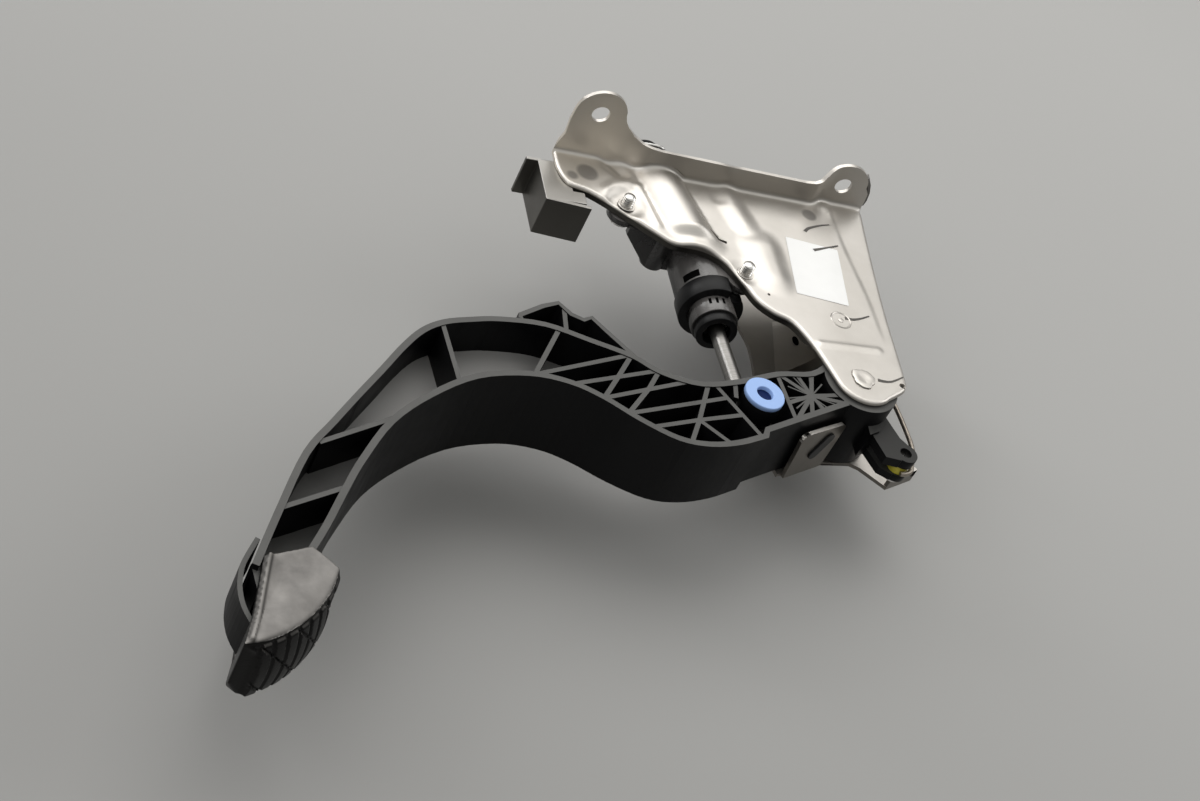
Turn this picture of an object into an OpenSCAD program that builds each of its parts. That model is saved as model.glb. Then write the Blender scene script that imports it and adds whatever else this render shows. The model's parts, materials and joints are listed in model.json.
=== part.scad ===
// Hanging clutch pedal in its pressed steel bracket, with its hydraulic master cylinder.
// Sizes are in millimetres. Every piece is laid out from the pivot axis, which stands along Z.
// X runs along the bulkhead flange and Y runs forward to the bulkhead.
// The origin is the centre of the right bulkhead hole, on the face that meets the bulkhead.

/* [Frame] */
// Pivot axis along X, from the right bulkhead hole
pivot_x = -18; // [-24:1:-14]
// Pivot axis behind the bulkhead face
pivot_y = -128; // [-132:1:-124]
// Middle of the pedal hub below the right bulkhead hole
pivot_z = -32; // [-36:1:-30]

/* [Bracket] */
// Thickness of the bracket sheet
sheet = 2; // [1.6:0.2:2.4]
// Inner face of the upper plate above the pivot middle
gap_up = 18; // [17.6:0.2:19]
// Inner face of the lower plate below the pivot middle
gap_down = 20; // [19.8:0.2:21]
// Depth of the turned-down front edge of the upper plate
lip_h = 5; // [4:0.5:5]
// Diameter of the three bulkhead holes
ear_hole_d = 9; // [8.5:0.5:10]
// Radius of the bulkhead ears
ear_r = 13; // [12:0.5:14]
// Height of the flange above the upper plate
flange_h = 14; // [10:1:16]
// Height of the stop tab above the lower plate
stop_h = 29; // [26:1:30]

/* [Pivot] */
// Diameter of the pivot pin
pin_d = 10; // [8:0.5:11]
// Outside diameter of the sleeve that spaces the plates
sleeve_d = 16; // [14:0.5:17]
// Outside diameter of the hub bushes
bush_d = 20; // [19:0.5:22]
// Outside radius of the pedal hub
hub_r = 19; // [17:0.5:19]

/* [Pedal arm] */
// Top rim of the arm above the pivot middle
rim_up = 17; // [16:0.1:17.2]
// Bottom rim of the arm at the hub, below the pivot middle
rim_down = 19; // [18:0.1:19.2]
// Bottom rim of the arm at the pad, below the pivot middle
rim_low = 30; // [26:1:32]
// Thickness of the two rim walls
wall_t = 3; // [2.4:0.2:4]
// Thickness of the web between them
web_t = 3; // [2:0.2:4]
// Thickness of the ribs
rib_t = 2.2; // [1.6:0.2:3]

/* [Pad] */
// Thickness of the rubber over the pedal plate
pad_t = 3; // [2:0.5:4]
// Lower edge of the pad below the pivot middle, at its inner corner
pad_low = 20; // [18:1:24]
// Radius of the domed tread
crown_r = 63; // [58:1:80]
// Height of the tread ribs
tread_h = 1.2; // [0.6:0.2:2]

/* [Master cylinder] */
// Distance of the cylinder axis from the pivot, towards the pedal
cyl_x = 60; // [60:1:61]
// Bore of the cylinder
bore_d = 19.05; // [19.05:0.05:19.1]
// Outside diameter of the housing
body_d = 29.6; // [28:0.2:29.6]
// Outside diameter of the locking collar
collar_d = 32; // [31:1:33]
// Diameter of the push rod
rod_d = 7.6; // [7:0.2:8]
// Diameter of the cylinder bolts
bolt_d = 6; // [5:0.5:6]

/* [Over-centre spring] */
// Wire of the over-centre spring
oc_wire = 2.5; // [2:0.1:2.8]
// Mean radius of its coil
oc_r = 10; // [9:0.5:10.5]
// Turns of its coil
oc_turns = 3.5; // [2.5:1:3.5]

/* [Hidden] */
$fn = 64;

zinc = [0.66, 0.64, 0.61];
steel = [0.72, 0.72, 0.73];
black = [0.09, 0.09, 0.10];
rubber = [0.14, 0.14, 0.14];
blue = [0.30, 0.47, 0.85];
yellow = [0.78, 0.72, 0.12];
white = [0.90, 0.90, 0.88];

slip = 0.05;
top = gap_up + sheet;
bottom = -gap_down - sheet;

// Plan points of the bracket, from the pivot
flange_path = [[-100, 126], [-96, 126], [-88, 122], [4, 122], [9, 126], [14, 126]];
front_edge = smooth([[-137, 124], [-136.5, 113], [-132.5, 103.5], [-122, 100], [-108, 91], [-90, 77.5],
                     [-82, 72.8], [-68, 72.2], [-58, 67], [-52, 57], [-46, 43], [-38, 35.5], [-29.5, 31],
                     [-22.5, 18], [-17.5, 3]], 4);
lip_first = 12;
lip_last = 52;
corner_r = 16;
corner_arc = [for (a = [200 : 10 : 330]) [corner_r * cos(a), corner_r * sin(a)]];
side_edge = [[22, -3], [25, 8], [27.5, 45], [34, 121]];
wall_edge = [[27.5, 45], [34, 121]];
lower_left = smooth([[-33, 124], [-33, 75], [-29.5, 54], [-31, 33], [-34, 5], [-37, -14], [-35, -31]], 4);
foot = [[-8, -19.5], [8, -17.5], [12.5, -19.5], [24.4, -30], [41, -21.5], [36, 0], [32, 20]];
foot_lip_h = 8;
lower_wall_h = 28;

// Raised beads of the upper plate: two plan points, radius and height above the plate
beads = [[[-76, 79], [-76, 124], 14, 7], [[-33, 92], [-33, 52], 18, 4], [[-91, 110], [-95, 90], 9, 2]];

// Bulkhead holes, given as x and z from the pivot
hole_right = [-pivot_x, -pivot_z];
hole_left = [hole_right[0] - 140, hole_right[1] + 14];
hole_low = [0, -42];
face_y = -pivot_y;

// Plan points of the arm, from the pad to the hub
back_rim = smooth([[-301, -147], [-290.5, -120], [-277, -88], [-264, -69], [-252.5, -52.7], [-240, -35.5],
                   [-229, -20], [-219, -8.5], [-208, -1.2], [-195, 3], [-180.7, 6.2], [-159, 7.2],
                   [-138, 1.5], [-118.6, -4.5], [-106, -12], [-87, -15.5], [-66, -10], [-45, -1.5],
                   [-26, 2.3], [-14, 12]], 4);
front_rim = concat(smooth([[-277.6, -140.6], [-269.3, -125.4], [-258.5, -102.8], [-251, -88.5],
                    [-237, -66.5], [-218.5, -48.8], [-196, -34], [-172, -28], [-153.5, -29.4],
                    [-139, -35.5], [-123, -46], [-106, -54.2], [-90.7, -55.2], [-75, -51.5],
                    [-60, -44.8]], 4), [[-58.5, -41], [-38, -30.4], [-10.6, -16.3]]);
spur = [[-171.5, 8], [-171, 11], [-158.7, 19.1], [-149.8, 22.9], [-144.1, 16.5], [-139.1, 14.4],
        [-134.3, 16.6], [-128.1, 9], [-116.5, -5]];
slope_start = -60;
slope_end = -200;
web_up = -2;
web_low = web_up - web_t;

// The pin that joins the push rod to the arm, and the middle of the rod's ball
rod_eye = [-56.7, -19.4];
ball = [-cyl_x, 47];
ball_r = 5.2;
socket_r = 6.5;
boss_r = 9.5;
rod_pin_r = 6.5;
rod_half = 5;
pocket_half = 6.2;
star = [-29.9, -13.5];

// Ribs between the two rims, each a pair of plan points
ribs = [[[-269.7, -81.7], [-227.3, -57.7]], [[-288.4, -118.3], [-256.7, -101.5]],
        [[-208.3, -3], [-204.7, -38.3]], [[-151, 7.5], [-169, -26]],
        [[-169, -26], [-118.8, -4.5]], [[-118.6, -4], [-127.7, -18.6]],
        [[-127.7, -18.6], [-137.8, -34.2]], [[-154.3, -29.4], [-106.8, -12]],
        [[-106.8, -12], [-114.2, -24]], [[-114.2, -24], [-127.6, -41.5]],
        [[-137.8, -34.2], [-91.2, -15.5]], [[-127.6, -41.5], [-75.4, -23]],
        [[-118.4, -48], [-93, -39.4]], [[-93, -39.4], [-69.5, -32.3]],
        [[-83.3, -15.9], [-93, -39.4]], [[-93, -39.4], [-99.9, -54]],
        [[-93, -39.4], [-78.8, -52]], [[-80.5, -14.5], [-62.8, -44.5]],
        [[-70.7, -22.1], [-69, -12]], [[-45.2, -2], [-42, -32.5]]];
star_ribs = [for (p = [[-45.2, -2], [-35, 0.5], [-25.8, 1.8], [-43, -20], [-42, -31], [-33, -28],
                       [-24, -23.5], [-12, -15], [-13, -10]]) [star, p]];

// Pad outline in plan, from the two ends of the tread round the back
pad = [[-267.2, -147.9], [-299.5, -183.4], [-306, -184], [-304.3, -178], [-301.9, -170.1],
       [-298.7, -154.7], [-296.4, -141.1], [-291, -138], [-282, -138.7]];
tread_w = norm(pad[1] - pad[0]);
tread_dir = (pad[1] - pad[0]) / tread_w;
tread_out = [-tread_dir[1], tread_dir[0]];
tread_angle = atan2(tread_dir[1], tread_dir[0]);
crown_rise = 7.2;
crown_at = pad[0] + 23 * tread_dir + (crown_rise - crown_r) * tread_out;
crown_z = -3;
pad_slope = atan(3.5 / tread_w);
toe_slope = 62;
pad_dome = concat([for (p = [pad[0], pad[1]]) p + (crown_rise + 1) * tread_out],
    [for (i = [1 : len(pad)]) pad[i % len(pad)]]);
pedal_plate = [pad[0] + 1.5 * tread_dir, pad[1] - pad_t * tread_dir, [-302, -179.5], [-299.8, -169],
               [-296.8, -154.7], [-294.6, -142.5], [-291, -139.5], [-282, -140]];
// Plan of the room behind the plate, where the cover is open
pad_opening = [[-296.9, -172.1], [-293.7, -154.7], [-285, -144.7], [-279, -130.7], [-298.4, -135.1],
               [-304.4, -141.1], [-309.9, -172.1]];

// The end of the back rim, which curves round behind the pad
back_end = smooth([[-295.5, -131], [-301.5, -143], [-303.2, -150], [-303.7, -156], [-302.8, -163],
                   [-300, -170], [-297.5, -172.5]], 3);
back_end_z = [-8, 12];

// The tail of the arm that carries the over-centre spring
tail = [20.9, -31.2];
tail_r = 6;
tail_up = 6;
tail_t = 5;
tail_low = -8;
tail_pin_d = 6;
bush_r = 5;

// Points along the cylinder axis, as distances in front of the pivot
ring_y = 36;
sleeve_y = 41;
collar_y = 50;
body_y = 60;
cap_y = 112;
rear_y = 120;
lug_t = 6;
lug_r = 7.5;
head_t = 2.4;
bolt_rear = [-103.6, 95.2];
bolt_front = [-47.6, 60.8];
piston_front = 42;
piston_rear = 76;
out_x = -80;
out_z = 8;
out_front = 90;
out_rear = 152;
clip_y = 145;
union_rear = 142;

// The stop tab stands along the front wall of the arm
stop_at = [-31.8, -29.5];
stop_angle = 27.2;
stop_w = 26;
stop_gap = 2;
stop_slot = [14.2, -3.5];
stop_slot_half = 5;
stop_slot_angle = 60;

// The over-centre spring's coil stands beside the hub
oc_at = [17, 33];
oc_top = -1.5;
oc_pitch = oc_wire + 0.3;

function catmull(a, b, c, d, t) =
    0.5 * (2 * b + (c - a) * t + (2 * a - 5 * b + 4 * c - d) * t * t + (3 * b - a - 3 * c + d) * t * t * t);
function smooth(p, n) = let (m = len(p)) concat(
    [for (i = [0 : m - 2]) for (j = [0 : n - 1])
        catmull(p[max(i - 1, 0)], p[i], p[i + 1], p[min(i + 2, m - 1)], j / n)], [p[m - 1]]);
function backward(p) = [for (i = [len(p) - 1 : -1 : 0]) p[i]];
function side_step(p, i) = let (d = p[min(i + 1, len(p) - 1)] - p[max(i - 1, 0)]) [-d[1], d[0]] / norm(d);
function beside(p, t) = [for (i = [0 : len(p) - 1]) p[i] + t * side_step(p, i)];
function strip(p, t) = concat(p, backward(beside(p, t)));

module from_pivot() translate([pivot_x, pivot_y, pivot_z]) children();
module at(p, z = 0) translate([p[0], p[1], z]) children();
module along_y(x, y, z = 0) translate([x, y, z]) rotate([-90, 0, 0]) children();

// The plan of a straight rib between two plan points
module rib_plan(a, b, t) {
    d = b - a;
    translate(a) rotate(atan2(d[1], d[0])) translate([0, -t / 2]) square([norm(d), t]);
}

// A straight rib of the given thickness between two plan points
module rib(a, b, z0, z1, t) {
    d = b - a;
    at(a, z0) rotate([0, 0, atan2(d[1], d[0])]) translate([0, -t / 2, 0]) cube([norm(d), t, z1 - z0]);
}

// A lying bar between two plan points, shortened at both ends by the inset
module bar(a, b, r, inset = 0) {
    d = b - a;
    at(a) rotate([0, 0, atan2(d[1], d[0])]) translate([inset, 0, 0]) rotate([0, 90, 0])
        cylinder(r = r - inset, h = norm(d) - 2 * inset);
}

// A tube about Z
module tube(r_out, r_in, h) difference() {
    cylinder(r = r_out, h = h);
    translate([0, 0, -1]) cylinder(r = r_in, h = h + 2);
}

// A round wire swept along points
module wire(points, r, sides = 10) {
    n = len(points);
    rings = [for (i = [0 : n - 1]) let (
        d = points[min(i + 1, n - 1)] - points[max(i - 1, 0)],
        w = d / norm(d),
        guide = abs(w[2]) > 0.9 ? [1, 0, 0] : [0, 0, 1],
        u = cross(guide, w) / norm(cross(guide, w)),
        v = cross(w, u))
        for (k = [0 : sides - 1]) points[i] + r * (cos(k * 360 / sides) * u + sin(k * 360 / sides) * v)];
    walls = [for (i = [0 : n - 2]) for (k = [0 : sides - 1]) let (m = (k + 1) % sides)
        [i * sides + k, (i + 1) * sides + k, (i + 1) * sides + m, i * sides + m]];
    polyhedron(rings, concat(walls, [[for (k = [0 : sides - 1]) k]],
        [[for (k = [sides - 1 : -1 : 0]) (n - 1) * sides + k]]), convexity = 6);
}

// A raised bead of the upper plate, and the hollow under it
module bead(b, inset = 0) translate([0, 0, top + b[3] - b[2]]) bar(b[0], b[1], b[2], inset);

module upper_ears() along_y(0, face_y - sheet) mirror([0, 1, 0]) linear_extrude(sheet) {
    translate(hole_left) circle(ear_r);
    polygon([[-137, gap_up], [-134.5, 30], [-135, hole_left[1]], [-109, hole_left[1]],
             [-108, 38], [-100, top + flange_h], [-100, gap_up]]);
    translate(hole_right) circle(ear_r);
    polygon([[9, gap_up], [9, 36], [10, 42], [31, hole_right[1]], [34, 24], [34, gap_up]]);
}

module bulkhead_hole(h) along_y(h[0], face_y - sheet - 1, h[1]) cylinder(d = ear_hole_d, h = sheet + 2);

module upper_plate_outline() polygon(concat(front_edge, corner_arc, side_edge,
    [[34, face_y], [9, face_y], [4, 124], [-88, 124], [-96, face_y], [-137, face_y]]));

module upper_bracket() color(zinc) from_pivot() difference() {
    union() {
        translate([0, 0, gap_up]) linear_extrude(sheet) upper_plate_outline();
        translate([0, 0, top - lip_h]) linear_extrude(lip_h)
            polygon(strip([for (i = [lip_first : lip_last]) front_edge[i]], sheet));
        translate([0, 0, gap_up]) linear_extrude(sheet + flange_h) polygon(strip(flange_path, sheet));
        linear_extrude(top) polygon(strip(wall_edge, sheet));
        upper_ears();
        intersection() {
            for (b = beads) bead(b);
            translate([-200, 0, gap_up + sheet / 2]) cube([250, 124, 20]);
        }
        for (b = [bolt_rear, bolt_front]) at(b, top) cylinder(r = 5, h = 1);
    }
    for (b = beads) bead(b, sheet);
    bulkhead_hole(hole_left);
    bulkhead_hole(hole_right);
    for (b = [bolt_rear, bolt_front]) at(b, gap_up - 1) cylinder(d = bolt_d + 2 * slip, h = 6);
    translate([0, 0, gap_up - 1]) cylinder(d = pin_d + 2 * slip, h = sheet + 2);
    at([-38.5, 47.5], gap_up - 1) cylinder(d = 2, h = 6);
    at([21.5, -1.5], gap_up - 1) cylinder(d = 3.4, h = 6);
}

module lower_bracket() color(zinc) from_pivot() difference() {
    union() {
        translate([0, 0, bottom]) linear_extrude(sheet) polygon(concat(lower_left, foot,
            [[29.5, 45], [36, 124], [17, 124], [15, face_y], [-15, face_y], [-17, 124]]));
        translate([0, 0, bottom]) linear_extrude(lower_wall_h) polygon(strip(wall_edge, -sheet));
        translate([0, 0, bottom]) linear_extrude(foot_lip_h) polygon(strip([[24.4, -30], [41, -21.5]], sheet));
        along_y(0, face_y - sheet) mirror([0, 1, 0]) linear_extrude(sheet) union() {
            translate(hole_low) circle(ear_r);
            polygon([[-15, -gap_down], [-13, hole_low[1]], [13, hole_low[1]], [15, -gap_down]]);
        }
        stop_tab();
    }
    bulkhead_hole(hole_low);
    translate([0, 0, bottom - 1]) cylinder(d = pin_d + 2 * slip, h = sheet + 2);
    at([7, 62], bottom - 1) cylinder(d = oc_wire + 0.6, h = sheet + 2);
    at([-3, 57], bottom - 1) cylinder(d = 3, h = sheet + 2);
    at([-3, 61], bottom - 1) cylinder(d = 3, h = sheet + 2);
    translate([-4.5, 57, bottom - 1]) cube([3, 4, sheet + 2]);
}

module at_stop() at(stop_at) rotate([0, 0, stop_angle]) children();
module slot_shape(r) translate(stop_slot) rotate(stop_slot_angle) {
    for (x = [-stop_slot_half, stop_slot_half]) translate([x, 0]) circle(r);
    square([2 * stop_slot_half, 2 * r], center = true);
}
module stop_tab() at_stop() rotate([90, 0, 0]) linear_extrude(sheet) difference() {
    stop_top = stop_h - gap_down;
    union() {
        polygon([[0, bottom], [stop_w, bottom], [stop_w, stop_top - 4], [stop_w - 3, stop_top - 1],
                 [1, stop_top], [-4, stop_top - 4], [-3, stop_top - 9]]);
        translate([-1, stop_top - 3]) circle(3);
        translate([stop_w - 4, stop_top - 5]) circle(4);
    }
    slot_shape(2.4);
}

module stop_buffer() color(rubber) from_pivot() at_stop() {
    rotate([90, 0, 0]) translate([0, 0, -stop_gap + 0.3]) linear_extrude(stop_gap - 0.3 + sheet + 1)
        slot_shape(2.4);
    rotate([90, 0, 0]) translate([0, 0, -stop_gap + 0.3]) linear_extrude(stop_gap - 0.3) slot_shape(3.8);
    rotate([90, 0, 0]) translate([0, 0, sheet]) linear_extrude(1) slot_shape(3.2);
}

module side_catch() color(zinc) from_pivot() {
    path = [[-151, 120], [-143.2, 120], [-143.2, 93], [-122, 91]];
    translate([0, 0, -4]) linear_extrude(gap_up + 4) polygon(concat(
        path, [[-122, 89], [-145.2, 91], [-145.2, 118], [-151, 118]]));
    translate([-144, 92, gap_up - sheet]) cube([20, 8, sheet]);
    translate([-144, 92, gap_up - sheet]) cube([14, 27.5, sheet]);
}

module blank_label() color(white) from_pivot() translate([-20, 51, top])
    rotate([0, 0, -4]) linear_extrude(0.15) polygon([[-2, 0], [27, 0], [29, 41], [0, 41]]);

module pivot_pin() color(steel) from_pivot() {
    translate([0, 0, bottom - 2]) cylinder(d = pin_d, h = top - bottom + 2);
    translate([0, 0, top]) cylinder(r = 7, h = 1.2);
    translate([0, 0, bottom - 4]) cylinder(r = 8, h = 4);
}

module pivot_sleeve() color(steel) from_pivot() translate([0, 0, -gap_down])
    tube(sleeve_d / 2, pin_d / 2 + slip, gap_up + gap_down);

module pivot_bush(z, flange_z) color(rubber) from_pivot() difference() {
    union() {
        translate([0, 0, z]) cylinder(d = bush_d, h = 12);
        translate([0, 0, flange_z]) cylinder(r = bush_d / 2 + 3, h = 1.5);
    }
    translate([0, 0, z - 2]) cylinder(d = sleeve_d + 2 * slip, h = 16);
}
module pivot_bush_upper() pivot_bush(gap_up - 12.2, gap_up - 1.7);
module pivot_bush_lower() pivot_bush(-gap_down + 0.2, -gap_down + 0.2);

module arm_outline() polygon(concat(back_rim, backward(front_rim)));

module rims() {
    polygon(strip(back_rim, -wall_t));
    polygon(strip(front_rim, wall_t));
}

module arm_walls() {
    height = rim_up + rim_low;
    difference() {
        translate([0, 0, -rim_low]) linear_extrude(height) rims();
        translate([-330, -127, -rim_low]) rotate([-46, 0, 0]) translate([0, -60, -40]) cube([42, 60, 40]);
    }
    translate([0, 0, back_end_z[0]]) linear_extrude(back_end_z[1] - back_end_z[0])
        polygon(strip(back_end, -2));
    translate([0, 0, web_low]) linear_extrude(web_t) arm_outline();
    translate([0, 0, -rim_low]) linear_extrude(height - 0.5) intersection() {
        for (r = concat(ribs, star_ribs)) rib_plan(r[0], r[1], rib_t);
        arm_outline();
    }
    at(star, web_low) cylinder(r1 = 5, r2 = 2.5, h = 16);
    at([-244.3, -63.9], web_up) cylinder(r = 3, h = 2);
}

module arm_spur() {
    translate([0, 0, -12]) linear_extrude(12 + rim_up - 0.5) polygon(strip(spur, -2.4));
    translate([0, 0, web_low]) linear_extrude(web_t) polygon(spur);
    rib([-147.5, 20], [-149, 4], -12, rim_up - 1, rib_t);
}

module arm_tail(z, t, root) at([0, 0], z) linear_extrude(t) {
    translate(tail) circle(tail_r);
    polygon(root);
}

module pedal_arm() color(black) from_pivot() difference() {
    union() {
        arm_walls();
        arm_spur();
        translate([0, 0, -rim_down]) cylinder(r = hub_r, h = rim_up + rim_down);
        at(rod_eye, -rim_down) cylinder(r = boss_r, h = rim_up + rim_down);
        plate_core();
        arm_tail(tail_up - tail_t, tail_t, [[4, -17], [9, -35.5], [17, -36.5], [26, -29], [20.4, -22], [16, -8]]);
        arm_tail(tail_low, 4, [[4, -12], [11, -33], [17, -36.5], [26.5, -31], [17, -8]]);
        translate([0, 0, tail_low]) linear_extrude(tail_up + 1.5 - tail_low)
            polygon([[4, -10], [3, -24], [8.8, -21], [15.6, -12.7], [14, -4]]);
    }
    translate([slope_start, -300, -rim_down - 30]) cube([200, 500, 30]);
    translate([slope_start, -300, -rim_down])
        rotate([0, -atan((rim_low - rim_down) / (slope_start - slope_end)), 0])
        translate([slope_end - slope_start - 10, 0, -40]) cube([slope_start - slope_end + 10, 500, 40]);
    translate([0, 0, -rim_down - 1]) cylinder(d = bush_d, h = 50);
    translate([0, 0, gap_up - 1.7]) cylinder(r = bush_d / 2 + 3, h = 10);
    translate([0, 0, -gap_down - 1]) cylinder(r = bush_d / 2 + 3, h = 2.7);
    at(rod_eye, -rim_down - 1) cylinder(r = rod_pin_r, h = 60);
    translate([0, 0, -pocket_half]) linear_extrude(2 * pocket_half) rod_pocket();
    at(tail, tail_low - 1) cylinder(d = tail_pin_d, h = 30);
}

// Room for the push rod's eye and its swing inside the arm
module rod_pocket() {
    translate(rod_eye) circle(11);
    translate(rod_eye) polygon([[0, -9], [9, 2], [9, 40], [-34, 40], [-9, 0]]);
}

// The dome that the tread follows, or the plate's face inside it
module crown(r) at(crown_at, crown_z) sphere(r, $fn = 160);

// Everything below the pad, whose lower edge rises to the toe
module under_pad(lift) at(pad[0]) rotate([0, 0, tread_angle]) {
    translate([-20, -80, lift - pad_low]) rotate([0, -pad_slope, 0]) translate([0, 0, -40]) cube([120, 160, 40]);
    translate([tread_w - lift, -80, lift - pad_low + 3.5]) rotate([0, -toe_slope, 0])
        translate([-10, 0, -40]) cube([70, 160, 40]);
}

// The pedal plate, and the arm's end that carries it
module plate_core() difference() {
    intersection() {
        translate([0, 0, -pad_low]) linear_extrude(pad_low + rim_up - pad_t) {
            polygon(pedal_plate);
            polygon([[-300.5, -145], [-276.2, -138.2], [-272, -149.5], [-298.6, -158]]);
        }
        crown(crown_r - pad_t);
    }
    under_pad(pad_t);
}

module pad_cover() color(rubber) from_pivot() {
    difference() {
        union() {
            intersection() {
                translate([0, 0, -pad_low]) linear_extrude(pad_low + rim_up) polygon(pad_dome);
                crown(crown_r);
            }
            intersection() {
                for (c = [0 : 3]) for (r = [0 : 3]) tread_rib(c, r);
                crown(crown_r + tread_h);
            }
        }
        under_pad(0);
        plate_core();
        translate([0, 0, -rim_low - 1]) linear_extrude(60) {
            arm_outline();
            rims();
        }
        translate([0, 0, -12]) linear_extrude(12 + rim_up - pad_t) polygon(pad_opening);
    }
}

// One raised rib of the tread, in column c across the pad and row r along it
module tread_rib(c, r) {
    across = 5 - pad_low + 9 * c;
    start = max(2, 4 + 15 * r - 3.5 * c);
    end = min(tread_w - 2, 15 + 15 * r - 3.5 * c);
    if (end - start > 4) at(pad[0]) rotate([0, 0, tread_angle])
        translate([start, -1, across - 2.6]) cube([end - start, 12, 5.2]);
}

module rod_pin() color(blue) from_pivot() at(rod_eye) difference() {
    union() {
        translate([0, 0, -rim_down + 1]) cylinder(r = rod_pin_r, h = rim_up + rim_down - 1);
        translate([0, 0, rim_up]) cylinder(r = 9.7, h = 2.6);
    }
    translate([0, 0, -rim_down]) cylinder(r = 4, h = 60);
}

module tail_pin() color(steel) from_pivot() at(tail) {
    translate([0, 0, tail_low - 1]) cylinder(d = tail_pin_d, h = tail_up - tail_low - 2);
    translate([0, 0, tail_low - 2]) cylinder(r = 4.4, h = 2);
}

module tail_bush() color(yellow) from_pivot() at(tail, tail_low + 4)
    tube(bush_r, tail_pin_d / 2 + slip, tail_up - tail_t - tail_low - 4);

// Plan of the room inside the turned-down edge of the upper plate
module inside_lip() polygon(concat(beside(front_edge, sheet + 0.1), [[40, 124], [-150, 124]]));

// A lug under the upper plate, reaching to the housing at y_side
module lug(p, y_side, width) intersection() {
    union() {
        at(p, gap_up - lug_t) cylinder(r = lug_r, h = lug_t);
        translate([p[0], y_side, gap_up - lug_t]) mirror([p[0] > -cyl_x ? 1 : 0, 0, 0])
            cube([abs(p[0] + cyl_x), width, lug_t]);
    }
    union() {
        translate([-200, 0, 0]) cube([200, 200, top - lip_h - 0.1]);
        linear_extrude(gap_up) inside_lip();
    }
}

module cylinder_body() color(black) from_pivot() difference() {
    union() {
        along_y(-cyl_x, body_y) cylinder(d = body_d, h = rear_y - 4 - body_y);
        along_y(-cyl_x, rear_y - 4) cylinder(d = body_d - 6, h = 4);
        lug(bolt_rear, bolt_rear[1] - lug_r, 2 * lug_r);
        lug(bolt_front, body_y + 0.1, bolt_front[1] + lug_r - body_y);
        translate([out_x, 98, out_z - 5]) cube([-cyl_x - out_x, 11, 10]);
        at([out_x, 90], -9) cylinder(r = 6, h = gap_up - lug_t + 9.5);
        along_y(0, 86) mirror([0, 1, 0]) linear_extrude(3)
            polygon([[-101, gap_up - lug_t + 1], [-101, 9], [-84.5, -9], [-70, -9], [-70, gap_up - lug_t + 1]]);
    }
    along_y(-cyl_x, body_y - 5) cylinder(d = bore_d, h = cap_y - body_y + 5);
    along_y(-cyl_x, cap_y - 2) cylinder(r = 2, h = 30);
    translate([out_x, 103.5, out_z]) rotate([0, 90, 0]) cylinder(r = 1.6, h = -cyl_x - out_x - 5);
    along_y(out_x, out_front - 2, out_z) cylinder(r = 5 + slip, h = 40);
    for (b = [bolt_rear, bolt_front]) {
        at(b, gap_up - lug_t - 1) cylinder(d = bolt_d + 2 * slip, h = 30);
        at(b, gap_up - lug_t - head_t) cylinder(r = 5.6, h = head_t);
    }
}

// The collar is notched where the front lug passes over it
module cylinder_collar() color(black) from_pivot() difference() {
    along_y(-cyl_x, collar_y) cylinder(d = collar_d, h = body_y - collar_y);
    along_y(-cyl_x, collar_y - 1) cylinder(r = 11.6, h = 20);
    translate([bolt_front[0] - lug_r - 0.3, collar_y - 1, gap_up - lug_t - head_t - 0.3]) cube([30, 20, 20]);
}

module guide_sleeve() color(black) from_pivot() along_y(-cyl_x, sleeve_y)
    tube(11.5, bore_d / 2, body_y - sleeve_y);

module rod_guide_ring() color(rubber) from_pivot() along_y(-cyl_x, ring_y)
    tube(10.2, 6.8, sleeve_y - ring_y);

module rear_union() color(black) from_pivot() along_y(-cyl_x, rear_y) difference() {
    union() {
        cylinder(r = 8, h = 6);
        cylinder(r = 5, h = union_rear - rear_y);
    }
    translate([0, 0, -1]) cylinder(r = 2.2, h = 40);
}

module outlet_connector() color(black) from_pivot() along_y(out_x, out_front, out_z) difference() {
    union() {
        cylinder(r = 5, h = 40);
        translate([0, 0, 38]) cylinder(r = 9, h = out_rear - out_front - 38);
    }
    translate([0, 0, 8]) cylinder(r = 2.2, h = 60);
    translate([0, 0, 44]) cylinder(r = 4, h = 40);
    translate([-12, -14, clip_y - out_front - 1.1]) cube([24, 8, 2.2]);
}

module outlet_clip() color(steel) from_pivot() {
    y = clip_y;
    wire(smooth([[out_x - 7.5, y, out_z + 6.5], [out_x - 7.5, y, out_z + 9.6], [out_x - 4, y, out_z + 11.5],
                 [out_x + 4, y, out_z + 11.5], [out_x + 7.5, y, out_z + 9.6], [out_x + 7.5, y, out_z + 6.5]],
                5), 0.8);
}

module cylinder_stud(p) color(steel) from_pivot() at(p) {
    translate([0, 0, gap_up - lug_t - 0.1]) cylinder(d = bolt_d, h = lug_t + sheet + 5.1);
    translate([0, 0, gap_up - lug_t - head_t]) cylinder(r = 5.6, h = head_t);
}
module cylinder_stud_rear() cylinder_stud(bolt_rear);
module cylinder_stud_front() cylinder_stud(bolt_front);

// The piston's front end is a deep socket for the ball of the push rod
module piston() color(steel) from_pivot() along_y(-cyl_x, piston_front) difference() {
    union() {
        cylinder(r = bore_d / 2 - slip, h = 14);
        cylinder(r = 7.5, h = piston_rear - piston_front - 6);
        translate([0, 0, 18]) cylinder(r = bore_d / 2 - slip, h = 8);
        cylinder(r = 4, h = piston_rear - piston_front);
    }
    translate([0, 0, -1]) cylinder(r = socket_r, h = ball[1] + ball_r + 0.4 - piston_front + 1);
}
module primary_seal() color(rubber) from_pivot() along_y(-cyl_x, piston_front + 28)
    tube(bore_d / 2 - slip, 4, 5);
module secondary_seal() color(rubber) from_pivot() along_y(-cyl_x, piston_front + 14)
    tube(bore_d / 2 - slip, 7.5, 4);

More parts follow.
